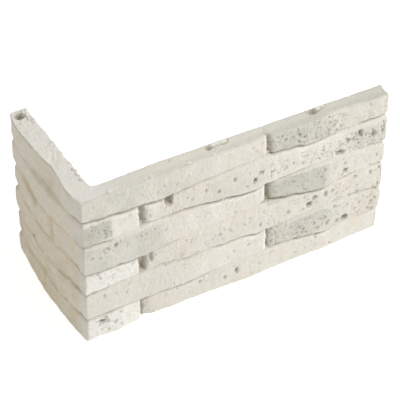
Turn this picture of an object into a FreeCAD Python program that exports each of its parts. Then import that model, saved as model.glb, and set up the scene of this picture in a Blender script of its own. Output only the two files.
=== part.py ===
import FreeCAD, Part

import os

import Sketcher

# Corner piece of a cast cladding that copies six courses of dry-laid stone.
# The inner corner's foot is the origin: the long leg runs along +X and the short
# leg along +Y, both with a flat back, and the stones face -Y and -X.
# All sizes are in millimetres.

NODE = "cast_corner"
COURSES = ("top", "second", "third", "fourth", "fifth", "base")
TOP_COURSE = COURSES[0]
BASE_COURSE = COURSES[-1]
TWIN_SLOT_COURSE = "fourth"

# A small bubble is a tapered pit, its floor this share of its mouth; from the
# second value up, in radius, a bubble keeps its round form.
PIT_FLOOR_SHARE = 0.55
ROUND_FROM = 2.5

SIZES = {
    "long_reach": 189.0,
    "short_reach": 82.0,
    "bed_depth": 8.8,
    "inner_round": 3.0,
    "end_reveal": 0.7,
    "embed": 2.5,
    "course_joint": 0.5,
    "arris_height": 1.9,
    "arris_depth": 1.4,
    "base_arris": 0.8,
    "end_turn": 4.5,
    "corner_turn": 7.0,
    "wing_joint": 26.0,
    "wing_gap": 1.6,
    "slot_floor": 6.0,
    "rib_radius": 1.2,
}

# Height of each course, and the upright joint in it: its place and its width.
RISE = {"top": 14.4, "second": 17.7, "third": 17.6, "fourth": 17.8, "fifth": 16.7, "base": 15.8}
JOINT = {"top": 107.0, "second": 25.5, "third": 107.5, "fourth": 27.0, "fifth": 109.0, "base": 26.0}
GAP = {"top": 3.0, "second": 3.0, "third": 4.0, "fourth": 7.0, "fifth": 2.4, "base": 3.6}

# Depth of the mortar bed behind the short leg's stones, from its end to the corner.
BED_SHORT = (9.2, 10.6, 10.8, 9.4, 9.0)

# Depth of each stone's face in front of the flat back, in even steps along it.
# The first row of a corner stone runs from the short leg's end to the corner,
# the second from the corner to the upright joint.
CORNER_FACES = {
    "top": ((12.0, 13.9, 12.2), (10.6, 11.1, 10.7, 10.1, 9.9)),
    "second": ((11.4, 14.6, 15.1, 14.0, 11.6), (10.8, 10.3)),
    "third": ((11.0, 14.4, 15.2, 13.9, 11.0), (11.3, 11.0, 10.4, 10.2, 10.3)),
    "fourth": ((11.6, 14.6, 15.3, 14.1, 10.9), (11.0, 10.4)),
    "fifth": ((11.2, 14.4, 15.3, 14.3, 12.0), (10.9, 10.4, 11.1, 10.3, 10.5)),
    "base": ((12.0, 13.8, 15.0, 14.9, 12.4), (12.7, 11.1)),
}
RUN_FACES = {
    "top": (10.1, 10.6, 10.1, 10.5),
    "second": (10.7, 10.4, 11.1, 10.3, 10.8, 11.3),
    "third": (10.3, 11.5, 10.5, 10.7),
    "fourth": (10.3, 11.1, 10.4, 10.9, 10.4, 11.4),
    "fifth": (10.6, 11.6, 10.6, 11.4),
    "base": (10.2, 10.7, 12.1, 11.2, 11.9, 10.5),
}
WING_FACE = (11.9, 14.2, 14.0, 12.6)

# How much further each stone stands out at its foot than at its head.
CORNER_LEAN = {"top": 0.6, "second": 0.2, "third": 0.6, "fourth": 0.3, "fifth": -0.3, "base": 1.0}
RUN_LEAN = {"top": 0.7, "second": 0.9, "third": 0.4, "fourth": 0.6, "fifth": 0.5, "base": 0.5}
WING_LEAN = 0.6

# Burst bubbles in the long leg's faces, by course and by side of the upright joint:
# place along the leg, height over the course's foot, and radius. A long hollow is
# a run of bubbles that broke into each other.
CORNER_BUBBLES = {"base": ((-2.2, 10.2, 1.8),)}
RUN_BUBBLES = {
    "second": (
        (41.3, 10.2, 2.0),
        (42.1, 12.6, 2.6),
        (41.6, 15.0, 2.0),
        (97.5, 5.0, 1.7),
        (155.0, 3.8, 1.8),
    ),
    "fourth": ((139.4, 9.6, 1.8),),
    "fifth": ((162.2, 4.6, 2.4),),
}

# Burst bubbles on the top and the crumbs left of their rims: distance along the leg,
# in from its end on the short leg, depth in front of the flat back, and radius.
SHORT_TOP_HOLES = ((5.4, 6.8, 2.8),)
SHORT_TOP_CRUMBS = ((6.7, 2.8, 1.4),)
LONG_TOP_HOLES = ((72.4, 2.2, 1.7), (140.8, 2.5, 2.0))
LONG_TOP_CRUMBS = ((80.8, 2.4, 1.5),)


class Size:
    """A length that knows both its number and the expression that gives it."""

    def __init__(self, number, text):
        self.number = number
        self.text = text

    def __add__(self, other):
        other = as_size(other)
        return Size(self.number + other.number, f"({self.text} + {other.text})")

    def __sub__(self, other):
        other = as_size(other)
        return Size(self.number - other.number, f"({self.text} - {other.text})")

    def __mul__(self, factor):
        return Size(self.number * factor, f"({self.text} * {factor})")

    def __neg__(self):
        return Size(-self.number, f"(0 - {self.text})")


def as_size(value):
    """Takes a plain number or a Size."""
    return value if isinstance(value, Size) else Size(value, str(value))


class Sheet:
    """The sheet of driving sizes: each has its own name, and is read back by it."""

    def __init__(self, doc):
        self.cells = doc.addObject("Spreadsheet::Sheet", "Sizes")
        self.rows = 0

    def enter(self, name, number):
        """Writes one size into the next row under its name."""
        self.rows += 1
        self.cells.set(f"A{self.rows}", name)
        self.cells.set(f"B{self.rows}", str(number))
        self.cells.setAlias(f"B{self.rows}", name)

    def enter_steps(self, name, numbers):
        """Writes the steps of a face or the measures of a bubble, numbered in order."""
        for step, number in enumerate(numbers, start=1):
            self.enter(f"{name}_{step}", number)

    def read(self, name):
        """Gives one size by its name."""
        return Size(float(getattr(self.cells, name)), f"Sizes.{name}")

    def read_steps(self, name, numbers):
        """Gives the numbered sizes of one face or bubble in order."""
        return [self.read(f"{name}_{step}") for step in range(1, len(numbers) + 1)]


def fill_sheet(doc):
    """Enters every driving size."""
    sheet = Sheet(doc)
    for name, number in SIZES.items():
        sheet.enter(name, number)
    sheet.enter("wing_lean", WING_LEAN)
    sheet.enter_steps("wing_face", WING_FACE)
    sheet.enter_steps("bed_short", BED_SHORT)
    for course in COURSES:
        sheet.enter(f"rise_{course}", RISE[course])
        sheet.enter(f"joint_{course}", JOINT[course])
        sheet.enter(f"gap_{course}", GAP[course])
        sheet.enter(f"corner_lean_{course}", CORNER_LEAN[course])
        sheet.enter(f"run_lean_{course}", RUN_LEAN[course])
        short_face, long_face = CORNER_FACES[course]
        sheet.enter_steps(f"corner_short_{course}", short_face)
        sheet.enter_steps(f"corner_long_{course}", long_face)
        sheet.enter_steps(f"run_face_{course}", RUN_FACES[course])
        enter_rows(sheet, f"corner_bubble_{course}", CORNER_BUBBLES.get(course, ()))
        enter_rows(sheet, f"run_bubble_{course}", RUN_BUBBLES.get(course, ()))
    enter_rows(sheet, "short_top_hole", SHORT_TOP_HOLES)
    enter_rows(sheet, "short_top_crumb", SHORT_TOP_CRUMBS)
    enter_rows(sheet, "long_top_hole", LONG_TOP_HOLES)
    enter_rows(sheet, "long_top_crumb", LONG_TOP_CRUMBS)
    doc.recompute()
    return sheet


def enter_rows(sheet, name, rows):
    """Writes the sizes of several like things, numbered in order."""
    for index, row in enumerate(rows, start=1):
        sheet.enter_steps(f"{name}_{index}", row)


def course_foot(sheet, course):
    """The height of a course's foot: the rises of the courses below it, added up."""
    level = as_size(0)
    for below in COURSES[COURSES.index(course) + 1:]:
        level = level + sheet.read(f"rise_{below}")
    return level


def course_head(sheet, course):
    """The height of a course's head."""
    return course_foot(sheet, course) + sheet.read(f"rise_{course}")


def stone_levels(sheet, course, lean):
    """The sections of a stone from head to foot: height, how far out, and how far drawn in."""
    half_joint = sheet.read("course_joint") * 0.5
    rise = sheet.read("arris_height")
    arris = sheet.read("arris_depth")
    foot = course_foot(sheet, course)
    head = course_head(sheet, course)
    foot_rise = rise
    foot_arris = arris
    if course != TOP_COURSE:
        head = head - half_joint
    if course == BASE_COURSE:
        foot_rise = sheet.read("base_arris")
        foot_arris = foot_rise
    else:
        foot = foot + half_joint
    out = lean * 0.5
    flush = as_size(0)
    return [(head, -out, arris), (head - rise, -out, flush), (foot + foot_rise, out, flush), (foot, out, foot_arris)]


def even(start, end, count):
    """Places in even steps from start to end."""
    return [start + (end - start) * (step / (count - 1)) for step in range(count)]


def plan_sketch(body, name, level):
    """A sketch that lies level in the body at a given height."""
    planes = [plane for plane in body.Origin.OriginFeatures if plane.Role == "XY_Plane"]
    sketch = body.newObject("Sketcher::SketchObject", name)
    sketch.AttachmentSupport = (planes[0], [""])
    sketch.MapMode = "FlatFace"
    sketch.AttachmentOffset = FreeCAD.Placement(FreeCAD.Vector(0, 0, level.number), FreeCAD.Rotation())
    sketch.setExpression("AttachmentOffset.Base.z", level.text)
    return sketch


def pin_point(sketch, label, geometry, point, place):
    """Ties one point of the sketch to a place given by two sizes."""
    for kind, length in zip(("DistanceX", "DistanceY"), place):
        ends = (-1, 1, geometry, point)
        if length.number < 0:
            length = -length
            ends = (geometry, point, -1, 1)
        index = sketch.addConstraint(Sketcher.Constraint(kind, *ends, length.number))
        sketch.renameConstraint(index, f"{label}_{kind}")
        sketch.setExpression(f"Constraints.{label}_{kind}", length.text)


def as_vector(place):
    """The numbers of a place, as a vector."""
    return FreeCAD.Vector(place[0].number, place[1].number, 0)


def draw_outline(sketch, poles, corners):
    """Draws a closed outline: a smooth curve over the poles, then lines back through the corners."""
    shape = Part.BSplineCurve()
    shape.buildFromPoles([as_vector(pole) for pole in poles], False, 3)
    curve = sketch.addGeometry(shape, False)
    sketch.exposeInternalGeometry(curve)
    circles = sorted(
        item.First
        for item in sketch.Constraints
        if item.Type == "InternalAlignment" and isinstance(sketch.Geometry[item.First], Part.Circle)
    )
    for index, pole in enumerate(poles):
        pin_point(sketch, f"pole_{index + 1}", circles[index], 3, pole)
    stops = [poles[-1], *corners, poles[0]]
    lines = [
        sketch.addGeometry(Part.LineSegment(as_vector(first), as_vector(second)), False)
        for first, second in zip(stops, stops[1:])
    ]
    meetings = [(curve, 2, lines[0], 1)]
    meetings += [(first, 2, second, 1) for first, second in zip(lines, lines[1:])]
    meetings.append((lines[-1], 2, curve, 1))
    sketch.addConstraint([Sketcher.Constraint("Coincident", *meeting) for meeting in meetings])
    for index, (line, corner) in enumerate(zip(lines, corners)):
        pin_point(sketch, f"corner_{index + 1}", line, 2, corner)


def bed_outline(sheet):
    """The L of the mortar bed, with a face that swells along the short leg."""
    long_end = sheet.read("long_reach")
    short_end = sheet.read("short_reach")
    depth = sheet.read("bed_depth")
    turn = sheet.read("corner_turn")
    short_face = sheet.read_steps("bed_short", BED_SHORT)
    places = even(short_end, turn - depth, len(short_face))
    poles = [(-out, along) for out, along in zip(short_face, places)]
    poles.append((-short_face[-1], -depth))
    poles += [(along, -depth) for along in even(turn - short_face[-1], long_end, 3)]
    zero = as_size(0)
    return poles, [(long_end, zero), (zero, zero), (zero, short_end)]


def build_bed(doc, sheet):
    """The L-shaped bed that carries the stones, with its inner corner eased."""
    body = doc.addObject("PartDesign::Body", "bed")
    sketch = plan_sketch(body, "bed_plan", as_size(0))
    draw_outline(sketch, *bed_outline(sheet))
    pad = body.newObject("PartDesign::Pad", "bed_pad")
    pad.Profile = sketch
    pad.setExpression("Length", course_head(sheet, TOP_COURSE).text)
    doc.recompute()
    upright = FreeCAD.Vector(0, 0, pad.Length.Value / 2)
    inner_edges = [
        f"Edge{index}"
        for index, edge in enumerate(pad.Shape.Edges, start=1)
        if edge.CenterOfMass.isEqual(upright, 0.001)
    ]
    ease = body.newObject("PartDesign::Fillet", "bed_inner_round")
    ease.Base = (pad, inner_edges)
    ease.setExpression("Radius", "Sizes.inner_round")
    return body


class RunStone:
    """A straight stone on the long leg, its ends turned back into the bed."""

    def __init__(self, sheet, start, end, face):
        self.sheet = sheet
        self.start = start
        self.end = end
        self.face = face
        turn = sheet.read("end_turn")
        self.places = even(start + turn, end - turn, len(face))

    def outline(self, out, inset):
        """Plan of the stone, its face moved out and its whole outline drawn in."""
        embed = self.sheet.read("embed")
        turn = self.sheet.read("end_turn")
        start = self.start + inset
        end = self.end - inset
        depths = [depth + out - inset for depth in self.face]
        poles = [(start, -embed), (start, turn - depths[0]), (start, -depths[0])]
        poles += [(along, -depth) for along, depth in zip(self.places, depths)]
        poles += [(end, -depths[-1]), (end, turn - depths[-1]), (end, -embed)]
        return poles, []


class WingStone(RunStone):
    """A straight stone on the short leg: a long leg's plan with its axes changed over."""

    def outline(self, out, inset):
        poles, corners = super().outline(out, inset)
        return [(y, x) for x, y in reversed(poles)], corners


class CornerStone:
    """A stone that turns the corner from the short leg into the long one."""

    def __init__(self, sheet, short_end, long_end, short_face, face):
        self.sheet = sheet
        self.short_end = short_end
        self.long_end = long_end
        self.short_face = short_face
        self.face = face
        end_turn = sheet.read("end_turn")
        turn = sheet.read("corner_turn")
        self.short_places = even(short_end - end_turn, turn - face[0], len(short_face))
        self.places = even(turn - short_face[-1], long_end - end_turn, len(face))

    def outline(self, out, inset):
        """Plan of the stone, its face moved out and its whole outline drawn in."""
        embed = self.sheet.read("embed")
        turn = self.sheet.read("end_turn")
        short_end = self.short_end - inset
        long_end = self.long_end - inset
        shorts = [depth + out - inset for depth in self.short_face]
        longs = [depth + out - inset for depth in self.face]
        poles = [(-embed, short_end), (turn - shorts[0], short_end), (-shorts[0], short_end)]
        poles += [(-depth, along) for depth, along in zip(shorts, self.short_places)]
        poles.append((-shorts[-1], -longs[0]))
        poles += [(along, -depth) for along, depth in zip(self.places, longs)]
        poles += [(long_end, -longs[-1]), (long_end, turn - longs[-1]), (long_end, -embed)]
        return poles, [(-embed, -embed)]


def joint_side(sheet, course, side):
    """The edge of a course's upright joint: -1 towards the corner, 1 towards the long leg's end."""
    return sheet.read(f"joint_{course}") + sheet.read(f"gap_{course}") * (0.5 * side)


def corner_stone(sheet, course):
    """The stone of one course that turns the corner, up to the upright joint."""
    short_end = sheet.read("short_reach") - sheet.read("end_reveal")
    if course == TOP_COURSE:
        short_end = sheet.read("wing_joint") - sheet.read("wing_gap") * 0.5
    short_face = sheet.read_steps(f"corner_short_{course}", CORNER_FACES[course][0])
    long_face = sheet.read_steps(f"corner_long_{course}", CORNER_FACES[course][1])
    return CornerStone(sheet, short_end, joint_side(sheet, course, -1), short_face, long_face)


def run_stone(sheet, course):
    """The stone of one course from the upright joint to the long leg's end."""
    end = sheet.read("long_reach") - sheet.read("end_reveal")
    face = sheet.read_steps(f"run_face_{course}", RUN_FACES[course])
    return RunStone(sheet, joint_side(sheet, course, 1), end, face)


def wing_stone(sheet):
    """The top course's second stone on the short leg."""
    start = sheet.read("wing_joint") + sheet.read("wing_gap") * 0.5
    end = sheet.read("short_reach") - sheet.read("end_reveal")
    face = sheet.read_steps("wing_face", WING_FACE)
    return WingStone(sheet, start, end, face[::-1])


def build_stone(doc, sheet, name, course, lean, stone):
    """One stone, lofted from head to foot, with its arrises drawn in at both."""
    body = doc.addObject("PartDesign::Body", name)
    plans = []
    for index, (level, out, inset) in enumerate(stone_levels(sheet, course, lean)):
        plan = plan_sketch(body, f"{name}_plan_{index + 1}", level)
        draw_outline(plan, *stone.outline(out, inset))
        plans.append(plan)
    loft = body.newObject("PartDesign::AdditiveLoft", f"{name}_block")
    loft.Profile = plans[0]
    loft.Sections = plans[1:]
    loft.Ruled = True
    return body


def set_place(item, place):
    """Ties an object's place to three sizes."""
    for axis, length in zip("xyz", place):
        item.setExpression(f"Placement.Base.{axis}", length.text)


def bubble(doc, name, place, radius, axis):
    """A ball centred on a surface or, if it is small, a stub that widens along the axis through it."""
    turn = FreeCAD.Rotation(FreeCAD.Vector(0, 0, 1), axis)
    if radius.number >= ROUND_FROM:
        item = doc.addObject("Part::Sphere", name)
        item.setExpression("Radius", radius.text)
        start = place
    else:
        item = doc.addObject("Part::Cone", name)
        item.setExpression("Radius1", (radius * PIT_FLOOR_SHARE).text)
        item.setExpression("Radius2", (radius * (2 - PIT_FLOOR_SHARE)).text)
        item.setExpression("Height", (radius * 2).text)
        start = [centre - radius * way for centre, way in zip(place, axis)]
    item.Placement = FreeCAD.Placement(FreeCAD.Vector(), turn)
    set_place(item, start)
    return item


def depth_at(stone, along):
    """The depth of a stone's face at a place along it, between the two steps beside it."""
    places = [place.number for place in stone.places]
    before = sum(place <= along for place in places[1:-1])
    share = (along - places[before]) / (places[before + 1] - places[before])
    return stone.face[before] + (stone.face[before + 1] - stone.face[before]) * share


def face_bubbles(doc, sheet, name, course, stone, rows):
    """Hollows for the burst bubbles of one stone, each centred on its face."""
    hollows = []
    for index, row in enumerate(rows, start=1):
        label = f"{name}_{index}"
        along, up, radius = sheet.read_steps(label, row)
        place = (along, -depth_at(stone, along.number), course_foot(sheet, course) + up)
        hollows.append(bubble(doc, label, place, radius, FreeCAD.Vector(0, -1, 0)))
    return hollows


def short_top_bubbles(doc, sheet, name, rows, axis):
    """Bubbles or crumbs centred on the short leg's top, which widen along the axis."""
    items = []
    for index, row in enumerate(rows, start=1):
        label = f"{name}_{index}"
        setback, depth, radius = sheet.read_steps(label, row)
        place = (-depth, sheet.read("short_reach") - setback, course_head(sheet, TOP_COURSE))
        items.append(bubble(doc, label, place, radius, axis))
    return items


def long_top_bubbles(doc, sheet, name, rows, axis):
    """The same on the long leg's top."""
    items = []
    for index, row in enumerate(rows, start=1):
        label = f"{name}_{index}"
        along, depth, radius = sheet.read_steps(label, row)
        place = (along, -depth, course_head(sheet, TOP_COURSE))
        items.append(bubble(doc, label, place, radius, axis))
    return items


def build_slot(doc, sheet, name, course, middle, width):
    """A slot with a round floor, cut into the bed between two stones of a course."""
    radius = width * 0.5
    foot = course_foot(sheet, course)
    rise = sheet.read(f"rise_{course}")
    floor = sheet.read("slot_floor")
    back = doc.addObject("Part::Cylinder", f"{name}_floor")
    back.setExpression("Radius", radius.text)
    back.setExpression("Height", rise.text)
    set_place(back, (middle, -(floor + radius), foot))
    mouth = doc.addObject("Part::Box", f"{name}_mouth")
    mouth.setExpression("Length", width.text)
    mouth.setExpression("Width", sheet.read("bed_depth").text)
    mouth.setExpression("Height", rise.text)
    set_place(mouth, (middle - radius, -(floor + radius + sheet.read("bed_depth")), foot))
    return [back, mouth]


def build_slots(doc, sheet):
    """The upright joints' slots; one course has two, with a rib left between them."""
    cutters = []
    for course in COURSES:
        middle = sheet.read(f"joint_{course}")
        width = sheet.read(f"gap_{course}")
        if course == TWIN_SLOT_COURSE:
            rib = sheet.read("rib_radius")
            side = width * 0.5 - rib
            offset = (width * 0.5 + rib) * 0.5
            cutters += build_slot(doc, sheet, f"slot_{course}_left", course, middle - offset, side)
            cutters += build_slot(doc, sheet, f"slot_{course}_right", course, middle + offset, side)
        else:
            cutters += build_slot(doc, sheet, f"slot_{course}", course, middle, width)
    return cutters


def build_rib(doc, sheet):
    """The round rib between the twin slots, as high as its course."""
    rib = doc.addObject("Part::Cylinder", "rib")
    rib.setExpression("Radius", "Sizes.rib_radius")
    rib.setExpression("Height", sheet.read(f"rise_{TWIN_SLOT_COURSE}").text)
    middle = sheet.read(f"joint_{TWIN_SLOT_COURSE}")
    set_place(rib, (middle, -sheet.read("bed_depth"), course_foot(sheet, TWIN_SLOT_COURSE)))
    return rib


def check_objects(doc):
    """Stops if an object failed to build or a shape is missing or faulty."""
    for item in doc.Objects:
        if "Invalid" in item.State or "Error" in item.State:
            raise RuntimeError(f"{item.Name} is {item.State}")
    shape = doc.getObject(NODE).Shape
    if shape.isNull() or not shape.isValid() or len(shape.Solids) != 1:
        raise RuntimeError(f"{NODE} is not one valid solid")


def fuse(doc, name, shapes):
    """One solid of shapes that overlap."""
    whole = doc.addObject("Part::MultiFuse", name)
    whole.Shapes = shapes
    return whole


def main():
    doc = FreeCAD.newDocument("cladding_corner")
    sheet = fill_sheet(doc)
    laid = build_bed(doc, sheet)
    hollows = []
    for course in COURSES:
        corner = corner_stone(sheet, course)
        run = run_stone(sheet, course)
        corner_lean = sheet.read(f"corner_lean_{course}")
        run_lean = sheet.read(f"run_lean_{course}")
        stones = [build_stone(doc, sheet, f"corner_stone_{course}", course, corner_lean, corner)]
        stones.append(build_stone(doc, sheet, f"run_stone_{course}", course, run_lean, run))
        if course == TOP_COURSE:
            wing_lean = sheet.read("wing_lean")
            stones.append(build_stone(doc, sheet, "wing_stone", course, wing_lean, wing_stone(sheet)))
        laid = fuse(doc, f"laid_{course}", [laid, *stones])
        corner_rows = CORNER_BUBBLES.get(course, ())
        run_rows = RUN_BUBBLES.get(course, ())
        hollows += face_bubbles(doc, sheet, f"corner_bubble_{course}", course, corner, corner_rows)
        hollows += face_bubbles(doc, sheet, f"run_bubble_{course}", course, run, run_rows)

    down = FreeCAD.Vector(0, 0, -1)
    crumbs = short_top_bubbles(doc, sheet, "short_top_crumb", SHORT_TOP_CRUMBS, down)
    crumbs += long_top_bubbles(doc, sheet, "long_top_crumb", LONG_TOP_CRUMBS, down)
    relief = fuse(doc, "relief", [laid, build_rib(doc, sheet), *crumbs])
    hollows += short_top_bubbles(doc, sheet, "short_top_hole", SHORT_TOP_HOLES, -down)
    hollows += long_top_bubbles(doc, sheet, "long_top_hole", LONG_TOP_HOLES, -down)
    hollows += build_slots(doc, sheet)

    cast = doc.addObject("Part::Cut", NODE)
    cast.Base = relief
    cast.Tool = fuse(doc, "openings", hollows)
    cast.Label = NODE
    cast.Placement = FreeCAD.Placement()
    doc.recompute()
    check_objects(doc)
    os.makedirs("parts", exist_ok=True)
    cast.Shape.exportStep(os.path.join("parts", f"{NODE}.step"))


main()
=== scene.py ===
import math

import bpy
import numpy as np
from mathutils import Matrix, Vector


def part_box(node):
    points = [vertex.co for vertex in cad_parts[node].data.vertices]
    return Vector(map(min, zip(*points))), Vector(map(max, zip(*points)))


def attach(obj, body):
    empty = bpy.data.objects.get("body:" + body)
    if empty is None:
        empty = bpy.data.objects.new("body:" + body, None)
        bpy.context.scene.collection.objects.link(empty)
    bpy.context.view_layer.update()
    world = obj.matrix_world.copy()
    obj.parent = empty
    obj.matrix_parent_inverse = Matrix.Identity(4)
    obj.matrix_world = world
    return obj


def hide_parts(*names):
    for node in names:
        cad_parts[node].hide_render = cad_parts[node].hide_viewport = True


bl_info = {
    "name": "Cast Cladding Corner",
    "version": (1, 0, 0),
    "blender": (4, 5, 0),
    "location": "View3D > Sidebar > Cladding",
    "description": "Dresses a cast stone cladding corner and sets a plain studio round it",
    "category": "Object",
}

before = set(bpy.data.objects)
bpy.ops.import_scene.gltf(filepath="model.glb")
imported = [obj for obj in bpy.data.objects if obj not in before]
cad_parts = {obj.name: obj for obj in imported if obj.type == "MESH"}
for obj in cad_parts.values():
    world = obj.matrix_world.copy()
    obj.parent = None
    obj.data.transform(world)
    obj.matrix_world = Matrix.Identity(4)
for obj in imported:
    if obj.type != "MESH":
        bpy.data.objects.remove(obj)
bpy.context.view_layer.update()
NODE = "cast_corner"
NODE_LOW, NODE_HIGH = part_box(NODE)

# Sizes below are in millimetres. A place along the outer face is one number: X on the
# long leg, and on the short leg SHORT_ZERO minus Y, so that it runs on round the corner.
MM = 0.001
LONG_REACH = NODE_HIGH[0] / MM
SHORT_REACH = NODE_HIGH[1] / MM
DEPTH_LIMIT_SHORT = -NODE_LOW[0] / MM
DEPTH_LIMIT_LONG = -NODE_LOW[1] / MM
CREST = NODE_HIGH[2] / MM
HEIGHT = 100.0
SHORT_ZERO = -22.0
INNER_ROUND = 3.0
SEED = 41

# The grid: columns on each leg and round the corner, steps in a course, rows over the top,
# heights of the back's rows, the base's rings as shares of the way out, how far in the
# rings that close the ends lie, where columns are closer, and how close to the back edge
# the top's last row but one lies.
COLUMNS_SHORT = 118
COLUMNS_CORNER = 19
COLUMNS_LONG = 306
COURSE_STEPS = 30
ROWS_TOP = 18
BACK_LEVELS = (0.997, 0.985, 0.66, 0.33, 0.015, 0.003, 0.0)
BASE_SHARES = (0.02, 0.5, 0.97)
CAP_RINGS = (0.7, 2.6)
CLOSE_SHORT = (76.0, SHORT_REACH)
CLOSE_LONG = (26.0, 43.0, 106.8, LONG_REACH)
EDGE_STEP = 0.012

# How far the points stay inside the solid's box: on the faces, at the short and the long
# leg's end and on the faces that close them, and the height that the top stays below.
FACE_GAP = 0.08
SHORT_GAP = 0.15
LONG_GAP = 0.1
CAP_GAP = 0.02
TOP_LIMIT = CREST - 0.05

# How far in front of the flat backs the corner's columns run, on each leg.
CORNER_SHORT = 10.8
CORNER_LONG = 11.0

# How far a slot, a hollow or a stain runs on where no joint ends it.
BEYOND = 9.0

# The joints: how deep, how much shallower on the short leg, how far the stones beside them
# stand out, and how deep noise breaks their edges.
JOINT_DROP = 3.0
JOINT_EASE = 2.35
JOINT_LEDGE = 0.55
JOINT_CHIPS = 0.22

# The hollows: the depth past which the floor is flatter, the rim's height, and the strength of the painted
# highlight on the rim's left.
DEEP = 2.0
RIM_RISE = 0.07
RIM_HIGHLIGHT = 0.85

# How far the back edge of the top stands up along the long leg.
BACK_EDGE_RISE = 1.15

# The joints between the courses, from the highest down: place along the face, height,
# and how open the joint is there, from 0 where it is filled to 1.
JOINTS = (
    (
        (-104, 84, 0.8), (-80, 84.6, 0.6), (-62, 85.2, 0.55), (-45, 85, 0.5), (-25, 86, 0.6),
        (-11, 86.5, 0.9), (20, 85.5, 0.85), (40, 84.7, 0.8), (60, 86, 0.5), (85, 87, 0.35),
        (100, 87.6, 0.15), (106, 88, 0.7), (125, 86.8, 0.75), (137, 85.3, 1), (150, 86, 0.7),
        (163, 86.8, 0.2), (170, 87.2, 0.6), (184, 87.7, 0.65), (189, 87, 0.8),
    ),
    (
        (-104, 66, 0.8), (-62, 67.5, 0.5), (-35, 68.5, 0.5), (-11, 70, 0.9), (0, 69.2, 0.95),
        (5, 68, 0.7), (9, 68, 0.12), (22, 69.5, 0.1), (26, 70.5, 0.5), (48, 70, 0.35), (65, 69.5, 0.8),
        (75, 68.5, 0.85), (90, 67.2, 1), (99, 66.8, 0.95), (105, 67.3, 0.9), (115, 67.3, 0.75),
        (140, 68.3, 0.3), (160, 68.5, 0.15), (176, 69, 0.4), (189, 68, 0.7),
    ),
    (
        (-104, 50, 0.8), (-62, 50.2, 0.5), (-35, 50.5, 0.5), (-11, 50, 0.95), (10, 49.5, 1), (26, 49, 1),
        (40, 49.5, 0.5), (55, 50, 0.1), (80, 51, 0.15), (100, 53, 0.1), (106, 54.6, 0.6), (120, 53, 0.8),
        (133, 51, 1), (146, 49.8, 1), (153, 50.3, 0.3), (165, 51, 0.7), (175, 51.5, 0.1), (189, 52, 0.7),
    ),
    (
        (-104, 31, 0.8), (-62, 32, 0.45), (-35, 33, 0.5), (-13, 34.5, 0.9), (-3, 34.4, 0.5),
        (8, 34.5, 0.2), (22, 35.5, 0.2), (31, 35.7, 0.3), (42, 35.5, 0.3), (54, 33.5, 0.3),
        (66, 34.2, 0.2), (75, 34.5, 0.6), (90, 33.3, 0.8), (100, 32.5, 0.85), (107, 32.5, 0.3),
        (115, 32.8, 0.6), (122, 33.2, 0.5), (140, 33.8, 0.15), (168, 34.5, 0.4), (189, 33, 0.7),
    ),
    (
        (-104, 14.2, 0.8), (-62, 15, 0.5), (-35, 15.5, 0.5), (-11, 15.2, 0.6), (10, 15, 0.5),
        (25, 14.8, 0.7), (40, 14.7, 0.5), (56, 15, 0.9), (63, 15, 0.6), (72, 15.5, 0.15),
        (105, 16.5, 0.1), (110, 17.3, 0.4), (127, 16.7, 0.6), (137, 15.5, 0.9), (149, 14.6, 1),
        (155, 15.2, 0.4), (165, 15.8, 0.2), (189, 16.5, 0.6),
    ),
)

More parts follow.
